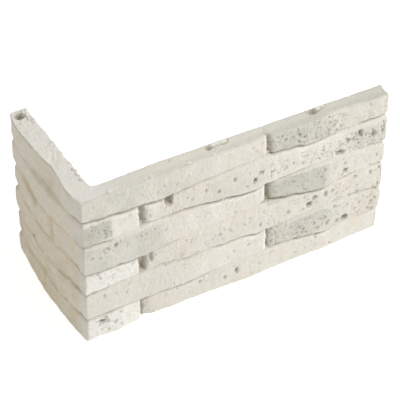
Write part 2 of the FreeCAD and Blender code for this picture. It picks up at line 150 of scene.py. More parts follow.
# The courses' faces, from the highest down: place along the face, depth in front of the
# flat back, and how much further the foot stands out than the head.
FACES = (
    (
        (-105, 9.2, 0.3), (-102, 10.6, 0.3), (-97, 12, 0.4), (-92, 12.6, 0.4), (-82, 13.3, 0.4),
        (-67, 12.9, 0.5), (-57, 12.2, 0.9), (-52, 11.9, 1.2), (-49, 11.3, 1.5), (-46, 11.5, 1.3),
        (-42, 11.8, 1.2), (-37, 12.3, 0.7), (-32, 13.1, 0.5), (-27, 13.5, 0.4), (-22, 13.2, 0.4),
        (-17, 11.9, 0.3), (-11, 10.5, 0.5), (10, 10.9, 0.7), (40, 11.1, 0.9), (70, 10.6, 0.8),
        (100, 10, 0.6), (110, 10, 0.6), (135, 10.4, 0.9), (160, 9.9, 0.6), (180, 10.2, 0.7),
        (189, 10, 0.7),
    ),
    (
        (-104, 10.4, 0.2), (-85, 13.2, 0.2), (-62, 15, 0.3), (-40, 14.6, 0.2), (-22, 12.6, 0.2),
        (-11, 10.9, 0.8), (5, 10.5, 0.8), (22, 10.2, 0.6), (29, 10.3, 0.5), (60, 10.3, 0.6),
        (90, 10.9, 1.2), (110, 10.3, 0.6), (140, 10.2, 0.4), (165, 10.5, 0.5), (171, 11.1, 0.6),
        (180, 11.3, 0.7), (189, 10.7, 0.6),
    ),
    (
        (-104, 9.9, 0.4), (-85, 13, 0.3), (-62, 15, 0.3), (-40, 14.4, 0.3), (-22, 11.8, 0.3),
        (-11, 11.2, 0.6), (0, 11.3, 0.8), (25, 11.1, 0.8), (50, 10.5, 0.3), (80, 10.3, 0.2),
        (104, 10.1, 0.2), (110, 10.2, 0.6), (135, 11.2, 1), (148, 11.2, 1), (160, 10.6, 0.4),
        (189, 10.6, 0.4),
    ),
    (
        (-104, 10.7, 0.3), (-85, 13.3, 0.3), (-62, 15.1, 0.3), (-40, 14.5, 0.3), (-22, 11.8, 0.3),
        (-11, 10.8, 0.9), (5, 10.7, 0.9), (22, 10.4, 0.9), (32, 10.3, 0.4), (60, 10.9, 0.4),
        (95, 10.5, 0.8), (120, 10.9, 0.5), (140, 10.4, 0.3), (165, 10.6, 0.4), (189, 11.1, 0.4),
    ),
    (
        (-104, 10.1, -0.2), (-85, 13, 0), (-62, 15.1, 0.1), (-40, 14.6, 0), (-22, 12.6, 0),
        (-11, 11.1, -0.2), (10, 10.9, -0.2), (50, 10.8, 0.4), (80, 10.4, 0.1), (105, 10.4, 0.1),
        (112, 10.5, 0.4), (140, 11.5, 0.9), (155, 11.2, 0.7), (170, 10.7, 0.2), (189, 11.2, 0.2),
    ),
    (
        (-104, 11, 0.4), (-85, 13, 0.5), (-62, 14.6, 0.5), (-40, 14.5, 0.6), (-22, 13.2, 0.8),
        (-11, 11.4, 0.8), (-3, 11.3, 1), (3, 11.8, 1.2), (9, 12, 1.2), (15, 11, 0.9), (23, 10, 0.6),
        (28, 9.5, 0.3), (35, 9.7, 0.3), (50, 10, 0.3), (67, 10.1, 0.3), (80, 10.9, 0.4), (92, 11.3, 0.4),
        (105, 11, 0.4), (120, 10.6, 0.3), (134, 10.5, 0.3), (147, 11.1, 0.4), (165, 10.2, 0.3),
        (175, 9.6, 0.3), (189, 9.6, 0.3),
    ),
)

# The upright slots: from, to, the number of the joint at the head and of the joint at the
# foot (None where the slot runs out at the top or the base), the floor's depth, how far the
# foot ramps out, how far the stone on the right is rounded, and how far the slot narrows
# from its head to its foot.
SLOTS = (
    (105, 108.5, None, 0, 6, 0.8, 1.4, 0),
    (23.6, 27.4, 0, 1, 6, 2.4, 1, 0),
    (105, 108.6, 1, 2, 6, 1.2, 1.6, 0),
    (22.6, 27.6, 2, 3, 6.1, 0.8, 1.3, 0.5),
    (107, 109.2, 3, 4, 6.8, 1.4, 1.3, 0),
    (23.6, 25.8, 4, None, 6.8, 1, 2.4, 0),
)

# Faint upright joints on the short leg: place, foot, head, half width and depth.
FAINT_UPRIGHTS = (
    (-48, 88, 100, 1.3, 0.3), (-44.5, 58, 68, 1, 0.5), (-58, 19, 30, 1, 0.3),
)

# Rounding of the edge between the face and the top: place along the face and radius.
TOP_EDGE = (
    (-104, 0.4), (-16, 0.4), (-11, 0.9), (29, 1), (57, 1.5), (95, 1.9), (104, 2.6), (106, 1.2), (130, 2),
    (148, 2.8), (160, 3.3), (170, 2.2), (178, 1.3), (189, 1.2),
)

# Burst bubbles: place along the face, height, half width, half height and depth.
CAVITIES = (
    (42.2, 83.2, 2.9, 6.4, 3.5), (30.4, 45.2, 1.2, 4.2, 1.9), (97.5, 73, 1.7, 1.6, 2.6),
    (101.6, 77, 1.9, 1.1, 2), (74, 74.6, 1.3, 1.2, 2), (65.5, 78.5, 1, 1, 1.4), (84, 79, 1.1, 1.2, 1.5),
    (92, 71, 0.8, 0.8, 1), (109, 80, 0.9, 0.9, 1), (156.4, 70.6, 3.4, 1.8, 2.6), (161, 78, 1.3, 1.6, 1.8),
    (164.2, 77.4, 1, 1.2, 1.3), (169, 80.6, 1.4, 2.4, 2.6), (168.3, 73.6, 1.1, 1.1, 1.4),
    (178.8, 77, 1.6, 1.4, 2.4), (185.4, 76.4, 1.5, 1.1, 2), (176, 69.6, 0.9, 0.8, 1.1),
    (173.2, 78.2, 0.7, 0.9, 0.9), (8.5, 63.4, 1.3, 1.2, 1.8), (3.5, 63, 0.9, 0.9, 1), (0.3, 63, 0.8, 1, 1),
    (1.6, 61, 0.6, 0.7, 0.8), (24, 63, 0.8, 0.8, 0.8), (27, 63, 0.7, 0.7, 0.7), (35, 60.4, 0.7, 0.8, 0.9),
    (35.2, 58.4, 0.6, 0.6, 0.8), (40, 61, 0.6, 0.6, 0.7), (85, 54, 1, 0.8, 1), (88, 54.2, 0.8, 0.7, 0.8),
    (124, 61.6, 1.1, 0.9, 1.2), (146, 62, 1.2, 0.9, 1.4), (143, 58, 1, 1, 1), (161, 55.6, 2, 1.4, 2.1),
    (158.4, 53.4, 1.3, 0.9, 1.4), (185, 52.2, 0.9, 1.2, 1.3), (186, 48.4, 0.9, 1.1, 1.3),
    (53, 47, 0.9, 0.8, 1), (56.5, 46, 0.7, 0.7, 0.8), (75, 42, 0.9, 1.1, 1.1), (76.2, 38.2, 0.7, 0.8, 0.8),
    (121.5, 39.6, 1.3, 1.1, 1.5), (136.4, 39.8, 2.3, 2.1, 2.3), (139.8, 43, 1.8, 1.4, 1.9),
    (141, 39, 0.8, 1, 1), (148, 42.6, 1.1, 2, 1.8), (153, 43, 1.3, 0.9, 1.4), (102.6, 38.2, 0.6, 2.1, 1.2),
    (179.6, 47, 0.9, 1.3, 1.4), (182, 35, 1, 0.9, 1.1), (0.2, 29, 0.9, 1.1, 1.2), (7.5, 28, 0.9, 1, 1.1),
    (14.2, 25, 0.8, 0.8, 0.9), (85, 24.6, 0.8, 1.1, 1), (95.2, 25.6, 1, 0.9, 1.1), (133, 22, 1.3, 0.9, 1.3),
    (143.2, 19, 1.1, 1, 1.2), (150, 20.2, 1.2, 1, 1.3), (157.2, 19, 1.1, 1, 1.3), (163, 18.6, 2.8, 2.2, 3),
    (182, 23, 1, 1.2, 1.2), (183, 18.2, 0.9, 0.9, 1), (-1.6, 10.5, 1.9, 1.6, 2.4),
    (0.6, 12.2, 0.9, 0.9, 1.2), (1.4, 9, 0.9, 0.8, 1), (-3.6, 9.2, 0.9, 0.9, 1), (2.4, 3.6, 0.9, 0.9, 1),
    (10, 12.2, 0.9, 1.1, 1.1), (10.2, 4, 0.8, 0.7, 0.8), (47.4, 11.6, 0.9, 0.7, 0.9),
    (62.5, 10.6, 1.1, 0.9, 1.2), (79, 7.6, 1.4, 1.2, 1.7), (87.2, 9.2, 1, 2.7, 2), (97, 3.1, 0.8, 0.8, 0.9),
    (143, 11.6, 0.9, 1.2, 1.1), (140.2, 0.9, 0.8, 1, 1), (153.4, 2.2, 1, 1, 1.1), (171, 1.2, 0.7, 0.7, 0.8),
    (186.6, 2.2, 0.8, 0.9, 0.9), (115, 97, 0.8, 0.7, 0.9), (127, 94, 1.1, 1, 1.4),
    (126.4, 89.6, 0.9, 0.7, 1), (147, 90, 1, 0.8, 1.1), (152.2, 94, 0.8, 0.9, 1), (155, 90.2, 0.9, 0.8, 1),
    (175, 98, 0.8, 0.7, 0.9), (17.6, 80.2, 0.7, 0.8, 0.8), (-3.6, 46.4, 0.9, 0.8, 1),
    (-1.8, 43.2, 0.7, 0.8, 0.8), (3, 36.2, 0.8, 0.7, 0.8), (-71.2, 34, 1.9, 1.3, 3.4),
)

# Stretches of pitted face: from, to, foot, head, how many larger pits are in the mesh, the
# largest radius, and how dense the finest ones are, which are left to the material.
PITTED = (
    (109, 158, 87, 99, 46, 0.6, 0.75), (158, 189, 87, 99, 8, 0.6, 0.2), (-10, 7, 70, 83, 16, 0.6, 0.5),
    (158, 188, 70, 83, 38, 0.7, 0.6), (106, 158, 71, 81, 52, 0.7, 0.55), (28, 106, 69, 84, 14, 0.6, 0.25),
    (-10, 12, 58, 65, 8, 0.5, 0.3), (12, 104, 52, 66, 9, 0.5, 0.2), (107, 150, 52, 66, 20, 0.6, 0.5),
    (150, 188, 52, 66, 20, 0.7, 0.3), (-10, 22, 36, 48, 12, 0.5, 0.4), (31, 104, 34, 48, 20, 0.6, 0.35),
    (104, 188, 34, 48, 44, 0.7, 0.4), (109, 158, 17, 31, 56, 0.75, 0.7), (158, 188, 16, 32, 26, 0.75, 0.5),
    (-10, 104, 17, 32, 10, 0.5, 0.15), (-10, 12, 1, 14, 14, 0.6, 0.5), (12, 100, 1, 14, 14, 0.55, 0.2),
    (100, 188, 1, 14, 16, 0.6, 0.2), (-10, 104, 88, 99, 12, 0.45, 0.12), (-100, -14, 2, 98, 14, 0.6, 0.06),
)

# Greyer stones: from, to, foot, head, how grey, and how soft the bounds at from and at to
# are. Whiter ones are below zero.
TONES = (
    (-10, 60, 86, 101, 0.5, 1, 12), (60, 107, 86, 101, 0.18, 12, 0.6), (108, 150, 86, 101, 0.85, 0.6, 9),
    (158, 189, 86, 101, 0.35, 6, 1),
    (-10, 6.5, 70.5, 82, 1.25, 1, 0.6), (7.5, 24, 69, 85, -0.5, 0.8, 0.6), (40, 106, 69, 84, 0.22, 6, 4),
    (28, 39, 76, 85, -0.3, 1, 2), (108, 160, 69, 85, -0.4, 4, 8), (166, 189, 70, 83, 0.48, 3, 1),
    (-10, 42, 50, 67, 0.58, 1, 6), (50, 105, 53, 66, -0.35, 10, 0.6), (107, 147, 50, 66, 1.1, 0.6, 5),
    (154, 189, 53, 66, -0.3, 5, 1), (-10, 23, 36, 49, -1.5, 1, 0.6), (32, 102, 34, 47, 0.12, 2, 5),
    (-10, 60, 16, 33, 0.15, 1, 12), (56, 107, 17, 31, -0.35, 10, 0.6), (109, 150, 16, 32, 0.7, 0.6, 10),
    (-10, 23.5, 0, 14, -1.1, 1, 0.6), (30, 104, 0, 13, 0, 3, 12), (108, 189, 0, 13, -0.3, 20, 1),
)

# Stains: place along the face, height, half width, half height and strength.
OLIVE_STAINS = (
    (-95, 20, 9, 7, 0.35), (50, 38.5, 3, 3, 0.6), (112, 53.6, 7, 1.2, 0.8), (24.6, 38, 2.6, 2.6, 1.3),
    (25, 78, 2.2, 7, 0.35), (40.8, 81, 1.7, 4.5, 1), (28, 43, 3, 6, 0.3), (-75, 67.5, 10, 3.4, 1.6),
    (-67, 64, 6, 3.4, 1), (-61, 16.5, 15, 3, 1.1), (-28, 35.5, 8, 3, 0.25), (-45, 61, 2.6, 7, 0.7),
    (-41, 52, 4, 5, 0.35), (-71, 33, 3.5, 3, 0.9), (-48, 94, 4, 8, 0.3), (-52, 24, 5, 8, 0.25),
    (-7, 76, 3.4, 3.6, 0.5),
)
OCHRE_STAINS = (
    (-84, 69, 7, 3, 0.9), (-44, 86.5, 10, 3.5, 0.25), (-28, 36, 8, 3.5, 0.8), (-62, 42, 16, 8, 0.3),
    (92, 52.4, 8, 2.5, 0.5), (182, 21, 4, 6, 0.7), (172, 14, 8, 3, 0.5), (183, 66, 6, 3, 0.4),
    (52, 69, 6, 2.4, 0.5), (45, 37, 8, 3, 0.5), (-62, 4, 22, 3, 0.5), (-88, 50, 10, 20, 0.4),
    (107, 86, 4, 2, 0.5),
)

# Stains that follow a joint: its number from the highest down, from, to and strength.
JOINT_STAINS = (
    (0, -100, -14, 0.2), (1, -100, -14, 0.3), (2, -100, -14, 0.3), (3, -100, -14, 0.3), (4, -100, -14, 0.3),
    (0, -60, -36, 0.05), (1, -84, -62, 0.9), (2, -66, -44, 0.3), (3, -72, -60, 0.4), (3, -40, -24, 0.6),
    (4, -78, -46, 0.7), (0, -12, 22, 0.3), (2, 104, 122, 0.7), (3, 30, 62, 0.5), (1, 42, 58, 0.4),
)

# On the top: burst bubbles and crumbs beside them: X, Y, half sizes, and depth or height.
TOP_HOLES = (
    (-6.7, 76.3, 2.7, 3.2, 4), (71.4, -2.2, 2.2, 1.7, 2.2), (140, -2, 2.6, 1.8, 2.6),
    (-9.2, 70, 0.8, 0.8, 0.6), (5, -8.4, 1.2, 0.9, 0.9), (31, -8.6, 1, 0.8, 0.7), (54, -8.3, 1.2, 0.9, 0.9),
    (70.5, -8.3, 1.2, 0.9, 0.9), (86, -8, 1.1, 0.9, 0.8), (47, -1.4, 0.9, 0.8, 0.7),
)
TOP_CRUMBS = (
    (-2.4, 74.4, 1.1, 1.5, 1.2), (-2.6, 71.2, 1, 1.2, 0.9), (-3, 78.4, 1, 1.4, 1),
    (-1.4, 67.8, 0.9, 1, 0.7), (-10.8, 77.4, 0.6, 2.6, 0.5), (74.4, -1.6, 1.5, 1.5, 1.4),
    (77.4, -1.3, 2, 1.3, 1.45), (81.4, -1.4, 2.6, 1.6, 1.45), (143.8, -1.4, 2, 1.5, 1.45),
    (137.4, -1, 1, 0.9, 0.8), (147.4, -1, 1.6, 1, 0.9), (-1, 8, 1.1, 1.1, 1.2), (-0.9, 13, 1.1, 1.2, 1.3),
    (-0.9, 17.6, 0.9, 1.2, 1.1), (-1, 39, 1, 1.2, 0.6), (-0.9, 45, 0.9, 1.1, 0.6),
    (6.8, -7.9, 1.5, 1.1, 0.6), (32.6, -8, 1.4, 1, 0.6), (55.9, -7.8, 1.6, 1.1, 0.6),
    (72.3, -7.8, 1.4, 1, 0.6), (20, -0.5, 0.9, 0.7, 0.3), (103, -0.5, 0.9, 0.7, 0.5),
    (118, -0.5, 0.8, 0.7, 0.5), (166, -0.5, 0.9, 0.7, 0.5),
)

# Shallow scratches on the top, from X, Y to X, Y, and how deep and how wide they are.
TOP_SCRATCHES = ((-11.0, 22.0, -2.0, 36.0), (-9.5, 27.0, -4.5, 38.0), (-10.5, 30.5, -6.5, 33.5))
SCRATCH_DEPTH = 0.6
SCRATCH_HALF = 0.55

# How grey the top is: X, and the grey there.
TOP_TONE = ((-16, -0.75), (5, -0.6), (30, 0.1), (60, 0.2), (95, 0.3), (125, 0.55), (189, 0.8))


def eased(value, low, high):
    """0 below low, 1 above high, and the cubic 3t^2 - 2t^3 between them."""
    share = np.clip((value - low) / (high - low), 0.0, 1.0)
    return share * share * (3.0 - 2.0 * share)


def bell(distance, width, power=2):
    """A bell curve: e to the minus t^power, where t is the distance over the width."""
    return np.exp(-((distance / width) ** power))


def oval(a, b, centre_a, centre_b, half_a, half_b):
    """Squared distance from an oval's centre in half widths: 1 on its edge."""
    return ((a - centre_a) / half_a) ** 2 + ((b - centre_b) / half_b) ** 2


def even_noise(a, b, cell, seed):
    """Numbers from -1 to 1 that vary smoothly over two parameters.

    Each corner of a lattice with the given cell gets a random number, and a point takes the
    mean of its four corners, weighted by the cubic step in each direction.
    """
    across = a / cell + 64.0
    along = b / cell + 64.0
    column = np.floor(across).astype(int)
    row = np.floor(along).astype(int)
    table = np.random.default_rng(SEED + seed).uniform(-1.0, 1.0, (257, 257))
    share_a = eased(across - column, 0.0, 1.0)
    share_b = eased(along - row, 0.0, 1.0)
    column = column % 256
    row = row % 256
    low = table[column, row] * (1 - share_a) + table[column + 1, row] * share_a
    high = table[column, row + 1] * (1 - share_a) + table[column + 1, row + 1] * share_a
    return low * (1 - share_b) + high * share_b


def line_noise(a, cell, seed):
    """even_noise along one parameter."""
    return even_noise(a, a * 0, cell, seed)


def along_face(points, u, column):
    """One measure of a row of places along the face, in straight steps between them."""
    table = np.array(points, dtype=float)
    return np.interp(u, table[:, 0], table[:, column])


def band(value, low, high, soft_low, soft_high):
    """1 from low to high and 0 outside, over a cubic step at each bound."""
    rising = eased(value, low - soft_low, low + soft_low)
    return rising * (1 - eased(value, high - soft_high, high + soft_high))


def patch(u, z, low_u, high_u, low_z, high_z, edge):
    """1 inside a rectangle of the face and 0 outside, over a soft edge."""
    return band(u, low_u, high_u, edge, edge) * band(z, low_z, high_z, edge, edge)


def joint_lines(u):
    """Height and openness of the joints along the face: straight between points, plus noise."""
    lines = []
    shares = []
    for index, points in enumerate(JOINTS):
        wander = 0.22 * line_noise(u, 7.0, 10 + index) + 0.07 * line_noise(u, 2.2, 20 + index)
        lines.append(along_face(points, u, 1) + wander)
        share = along_face(points, u, 2) * (1 + 0.3 * line_noise(u, 5.0, 30 + index))
        shares.append(np.clip(share, 0.03, 1.0))
    return np.array(lines), np.array(shares)


def course_rows(lines):
    """Heights of the rows of every column: each course from joint to joint, closer near them."""
    spread = shared_out(0.0, 1.0, COURSE_STEPS + 1, (0.0, 1.0), 0.05, 3.0)
    count = lines.shape[1]
    levels = [np.zeros(count), *lines[::-1], np.full(count, HEIGHT)]
    rows = [low[:, None] + (high - low)[:, None] * spread[:-1] for low, high in zip(levels, levels[1:])]
    return np.concatenate([*rows, levels[-1][:, None]], axis=1)


class Relief:
    """The coursed face: how deep it stands at every place, and what colours it there."""

    def __init__(self, u_line, props):
        self.u_line = u_line
        self.lines, shares = joint_lines(u_line)
        self.z = course_rows(self.lines)
        self.u = np.repeat(u_line[:, None], self.z.shape[1], axis=1)
        self.side = eased(-self.u, 13.0, 24.0)
        self.joints = [(self.z - line[:, None], share[:, None]) for line, share in zip(self.lines, shares)]
        self.wander_u = self.wandered(self.u, 2.3, 1)
        self.wander_z = self.wandered(self.z, 2.1, 3)
        # Soiling and painted shade, the pitted stretches, and painted highlights on lit edges and rims.
        self.grime, self.pitted, self.painted_highlight = np.zeros((3, *self.u.shape))
        for low_u, high_u, low_z, high_z, _, _, dense in PITTED:
            stretch = patch(self.u, self.z, low_u, high_u, low_z, high_z, 1.5)
            self.pitted = np.maximum(self.pitted, dense * stretch)
        middles = np.array([along_face(points, u_line, 1) for points in FACES])
        leans = np.array([along_face(points, u_line, 2) for points in FACES])
        self.depth = self.courses(middles, leans)
        self.open_joints((middles + leans / 2)[:-1] - (middles - leans / 2)[1:])
        self.depth += props.waviness / MM * self.waves()
        self.cut_slots()
        self.faint_uprights()
        self.burst_bubbles()
        self.scatter_pits()

    def noise(self, cell, seed):
        """even_noise over the face."""
        return even_noise(self.u, self.z, cell, seed)

    def wandered(self, place, cell, seed):
        """Places moved by two layers of noise, for uneven edges of what is cut."""
        return place + 0.35 * self.noise(cell, seed) + 0.2 * self.noise(0.9, seed + 1)

    def courses(self, middles, leans):
        """Each course's own depth, taken over by the next across every joint.

        The depth grows by the lean, straight from head to foot. The takeover is a cubic
        step, wider where the joint is filled and on the short leg.
        """
        levels = [np.full_like(self.u_line, HEIGHT), *self.lines, np.zeros_like(self.u_line)]
        faces = []
        for middle, lean, head, foot in zip(middles, leans, levels, levels[1:]):
            centre = ((head + foot) / 2)[:, None]
            share = np.clip((centre - self.z) / (head - foot)[:, None], -0.7, 0.7)
            faces.append(middle[:, None] + lean[:, None] * share)
        depth = faces[0]
        for (above, share), lower in zip(self.joints, faces[1:]):
            reach = 0.05 + 3.0 * (1 - share) ** 2 + 2.2 * self.side
            upper = eased(above, -reach, reach)
            depth = depth * upper + lower * (1 - upper)
        return depth

    def open_joints(self, overhangs):
        """Lets the face fall back at the joints, and paints the shadow under each ledge and a highlight
        below it.

        The foot above falls back as a narrow bell curve of the height from the joint, and
        the head below as a narrow and a wide one together, softer the less open the joint is
        and on the short leg. A wider one brings the foot forward and sets the head back, and
        noise breaks the edges. A painted shadow lies under each ledge and reaches further down
        where the foot stands out more, a painted highlight lies on the lit head below it, and
        the short leg's joints get a soft dark band.
        """
        rough = self.noise(1.3, 43)
        for (above, share), overhang in zip(self.joints, overhangs):
            step = np.maximum(overhang, 0.0)[:, None] + 1.1 * share * share
            foot = bell(np.maximum(above, 0), 0.22 + 0.9 * (1 - share) + 1.7 * self.side)
            lip = bell(above, 0.3 + 0.55 * share + self.side)
            bevel = 0.62 * lip + 0.38 * bell(np.abs(above), 2.0, 1.6)
            drop = share * (JOINT_DROP - JOINT_EASE * self.side)
            self.depth -= drop * np.where(above >= 0, foot, bevel)
            ledge_out = JOINT_LEDGE * share * share * (1 - 0.7 * self.side)
            self.depth += ledge_out * np.where(above >= 0, 1.0, -1.0) * bell(above, 3.2)
            self.depth -= JOINT_CHIPS * share * np.abs(rough) * bell(above, 1.1)
            # Painted shadow under the ledge, placed by how far the foot stands out, a painted highlight on
            # the head below, and a soft dark band on the short leg.
            reach = 0.25 + 0.85 * step
            dirt_and_shade = eased(above, -reach - 0.7, -reach) * (1 - eased(above, 0.0, 0.5))
            soft = bell(above + 0.2, 1.4)
            self.painted_highlight += 0.6 * share * (1 - self.side) * bell(above + reach + 1.6, 0.8)
            self.grime += share * (0.76 * share * dirt_and_shade * (1 - self.side) + 0.15 * soft * self.side)

    def cut_slots(self):
        """Sinks the upright slots: a sharp wall on the left and a rounded stone on the right.

        Cubic steps lead over the walls and ramp the foot out. Both stones fall back to the
        slot as bell curves, the right one further. The slot narrows straight to its foot.
        """
        for low, high, over, under, floor, ramp, turn, narrowing in SLOTS:
            head = HEIGHT + BEYOND if over is None else self.lines[over][:, None]
            foot = -BEYOND if under is None else self.lines[under][:, None] + 0.5
            left = low - self.wander_u
            right = self.wander_u - high + narrowing * np.clip((head - self.z) / (head - foot), 0.0, 1.0)
            under_head = 1 - eased(self.z, head - 0.3, head + 0.1)
            level = eased(self.z, foot - ramp, foot + ramp) * under_head
            ease = turn * bell(np.maximum(right, 0), turn, 1.6) * (right > 0)
            ease += 0.5 * bell(np.maximum(left, 0), 1.2) * (left > 0)
            inside = (1 - eased(left, -0.3, 0.1)) * (1 - eased(right, -0.7, 0.5)) * level
            bottom = floor + 0.5 * self.noise(2.0, 41)
            self.depth = (self.depth - ease * level) * (1 - inside) + bottom * inside
            # Soiling and painted shade on the slot's floor, and a painted highlight on the lit end of the
            # stone to its left.
            self.grime += 0.4 * inside
            self.painted_highlight += 0.9 * level * (left > -0.2) * bell(left - 0.5, 0.9)

    def faint_uprights(self):
        """Shallow bell-shaped furrows where the short leg's stones meet."""
        for place, foot, head, half, deep in FAINT_UPRIGHTS:
            furrow = deep * bell(self.wander_u - place, half) * eased(self.z, foot, foot + 1)
            self.depth -= furrow * (1 - eased(self.z, head, head + 1))

    def waves(self):
        """Uneven faces: four layers of noise, the two finest stronger on the pitted stretches."""
        broad = 0.30 * self.noise(15.0, 51)
        middle = 0.17 * self.noise(5.5, 52)
        small = 0.15 * self.noise(2.2, 53)
        grain = 0.12 * self.noise(1.1, 54)
        return broad + middle + (small + grain) * (1 + 1.2 * self.pitted) * (1 - 0.4 * self.side)

    def dent(self, at_u, at_z, half_u, half_z, depth, dirt_and_shade):
        """Sinks an oval hollow: depth times the square root of 1 - r^2, r in half widths.

        A deep one has r^4 in its place, and so a flatter floor. A low rim, a bell curve of
        the distance from the edge, stands round it. Both end at the joints. The rim carries a
        painted highlight on its left, and the bowl is darkened as soiling and painted shade.
        """
        near = np.abs(self.u_line - at_u) < 2.0 * half_u + 1.2
        window = np.ix_(near, np.arange(self.z.shape[1]))
        lines = self.lines[:, near]
        head = np.where(lines > at_z, lines, HEIGHT + BEYOND).min(axis=0)[:, None]
        foot = np.where(lines <= at_z, lines, -BEYOND).max(axis=0)[:, None]
        inside = (self.z[window] <= head) * (self.z[window] >= foot)
        reach = oval(self.wander_u[window], self.wander_z[window], at_u, at_z, half_u, half_z)
        bowl = np.sqrt(np.clip(1.0 - reach ** (2 if depth > DEEP else 1), 0.0, None)) * inside
        rim = bell(np.sqrt(reach) - 1.25, 0.25) * inside
        self.depth[window] += RIM_RISE * depth * rim - depth * bowl
        # A painted highlight on the rim's left, the side towards the key light; soiling and painted shade
        # in the bowl, darker the deeper.
        self.painted_highlight[window] += RIM_HIGHLIGHT * rim * (self.u[window] < at_u)
        self.grime[window] = np.maximum(self.grime[window], dirt_and_shade * np.clip(bowl * 1.4, 0, 1))

    def burst_bubbles(self):
        """The burst bubbles seen one by one, the deeper the darker up to a limit, as soiling and painted
        shade.
        """
        for at_u, at_z, half_u, half_z, depth in CAVITIES:
            self.dent(at_u, at_z, half_u, half_z, depth, min(0.55, 0.08 + 0.22 * depth))

    def scatter_pits(self):
        """Pits at random places of each pitted stretch, darker where it is denser, as soiling and painted
        shade.

        The radius grows from 0.5 with a random share to the power 1.8, so most are small.
        """
        random = np.random.default_rng(SEED)
        for low_u, high_u, low_z, high_z, count, largest, dense in PITTED:
            centres_u = random.uniform(low_u, high_u, count)
            centres_z = random.uniform(low_z, high_z, count)
            radii = 0.5 + (largest - 0.4) * random.uniform(0, 1, count) ** 1.8
            tall = radii * random.uniform(0.7, 1.1, count)
            for at_u, at_z, radius, half_z in zip(centres_u, centres_z, radii, tall):
                self.dent(at_u, at_z, radius, half_z, radius * 1.5, 0.2 + 0.26 * dense)

    def tone(self):
        """How grey each stone is: the later patch over the earlier, less the painted highlights, plus
        noise.
        """
        tone = np.zeros_like(self.u)
        blur_u = self.u + 0.8 * self.noise(3.5, 61)
        blur_z = self.z + 0.6 * self.noise(3.5, 62)
        for low_u, high_u, low_z, high_z, grey, soft_low, soft_high in TONES:
            across = band(blur_u, low_u, high_u, soft_low, soft_high)
            share = across * band(blur_z, low_z, high_z, 0.8, 0.8)
            tone = tone * (1 - share) + grey * share
        return tone - self.painted_highlight + 0.22 * self.noise(8.0, 63) + 0.12 * self.noise(2.5, 64)

    def blots(self, table):
        """The sum of soft ovals: strength times e to the minus squared distance."""
        total = np.zeros_like(self.u)
        for at_u, at_z, half_u, half_z, strength in table:
            total += strength * np.exp(-oval(self.u, self.z, at_u, at_z, half_u, half_z))
        return total

    def broken_up(self, total):
        """A stain times two layers of noise, held from 0 to 1."""
        broken = 0.75 + 0.5 * self.noise(4.0, 71) + 0.3 * self.noise(1.5, 72)
        return np.clip(total * np.clip(broken, 0.0, 1.5), 0.0, 1.0)

    def olive_and_shade(self):
        """Olive stains: blots and bell curves along the joints, and painted shade on the short leg, darker
        towards its base.
        """
        total = self.blots(OLIVE_STAINS)
        for index, low, high, strength in JOINT_STAINS:
            above, _ = self.joints[index]
            window = patch(self.u, self.z, low, high, -BEYOND, HEIGHT + BEYOND, 3.0)
            total += strength * window * bell(above - 0.3, 1.5)
        # Painted shade on the shaded short leg, darker towards its base.
        total += 0.5 * self.side * (1 - self.z / HEIGHT) ** 1.5
        return self.broken_up(total)

    def ochre_and_side_shade(self):
        """Ochre stains: blots, and a painted warm shade over the shaded short leg that grows straight
        downwards.
        """
        total = self.blots(OCHRE_STAINS)
        # Painted warm shade on the shaded short leg, stronger towards its base.
        total += self.side * (0.45 + 0.95 * (1 - self.z / HEIGHT))
        return self.broken_up(total)


def shared_out(low, high, count, centres, width, gain):
    """Places from low to high, closer together round the centres.

    The density is 1 plus gain times a bell curve of each centre; the places divide its
    running total into even parts.
    """
    fine = np.linspace(low, high, 2000)
    density = np.ones_like(fine)
    for centre in centres:
        density += gain * bell(fine - centre, width)
    total = np.concatenate([[0.0], np.cumsum((density[1:] + density[:-1]) / 2)])
    return np.interp(np.linspace(0, total[-1], count), total, fine)


def edge_round(distance, radius):
    """How far a quarter circle falls back at a distance from the edge it rounds."""
    share = np.clip(1 - distance / radius, 0.0, 1.0)
    return radius * (1 - np.sqrt(1 - share * share))


def top_height(x, y):
    """Height of the top, where it is darkened and where it carries a painted highlight.

    It is level with slight waves. A scratch sinks by a bell curve of the distance from its
    line, a hole by its depth times the square root of 1 - r^4, and a crumb rises by the
    square root of 1 - r^2. The holes are darkened as soiling and painted shade, a painted
    shadow rings each tall crumb, and the crumbs are whitened as a painted highlight.
    """
    height = HEIGHT + 0.10 * even_noise(x, y, 9.0, 81) + 0.06 * even_noise(x, y, 2.0, 82)
    height += 0.28 * eased(y, 15.0, 45.0) * even_noise(x, y, 1.3, 85)
    along = x + 0.3 * even_noise(x, y, 1.5, 83)
    across = y + 0.3 * even_noise(x, y, 1.5, 84)
    mark = np.zeros_like(x)
    pale = np.zeros_like(x)
    for from_x, from_y, to_x, to_y in TOP_SCRATCHES:
        length = math.hypot(to_x - from_x, to_y - from_y)
        way_x, way_y = (to_x - from_x) / length, (to_y - from_y) / length
        run = (along - from_x) * way_x + (across - from_y) * way_y
        aside = (along - from_x) * way_y - (across - from_y) * way_x
        height -= SCRATCH_DEPTH * bell(aside, SCRATCH_HALF) * (run > 0) * (run < length)
    for at_x, at_y, half_x, half_y, depth in TOP_HOLES:
        reach = oval(along, across, at_x, at_y, half_x, half_y)
        bowl = np.sqrt(np.clip(1 - reach * reach, 0, None))
        height -= depth * bowl
        # Soiling and painted shade in the hole, darker the deeper.
        mark = np.maximum(mark, min(1.0, 0.15 + 0.25 * depth) * bowl)
    for at_x, at_y, half_x, half_y, rise in TOP_CRUMBS:
        reach = oval(along, across, at_x, at_y, half_x, half_y)
        lump = np.sqrt(np.clip(1 - reach, 0, None))
        height += rise * lump
        # A painted shadow round each tall crumb, and a painted highlight on the crumb itself.
        ring = bell(np.sqrt(reach) - 1.15, 0.3)
        mark = np.maximum(mark, (rise > 0.6) * 0.62 * ring)
        pale = np.maximum(pale, np.sqrt(lump))
    return np.minimum(height, TOP_LIMIT), mark, pale


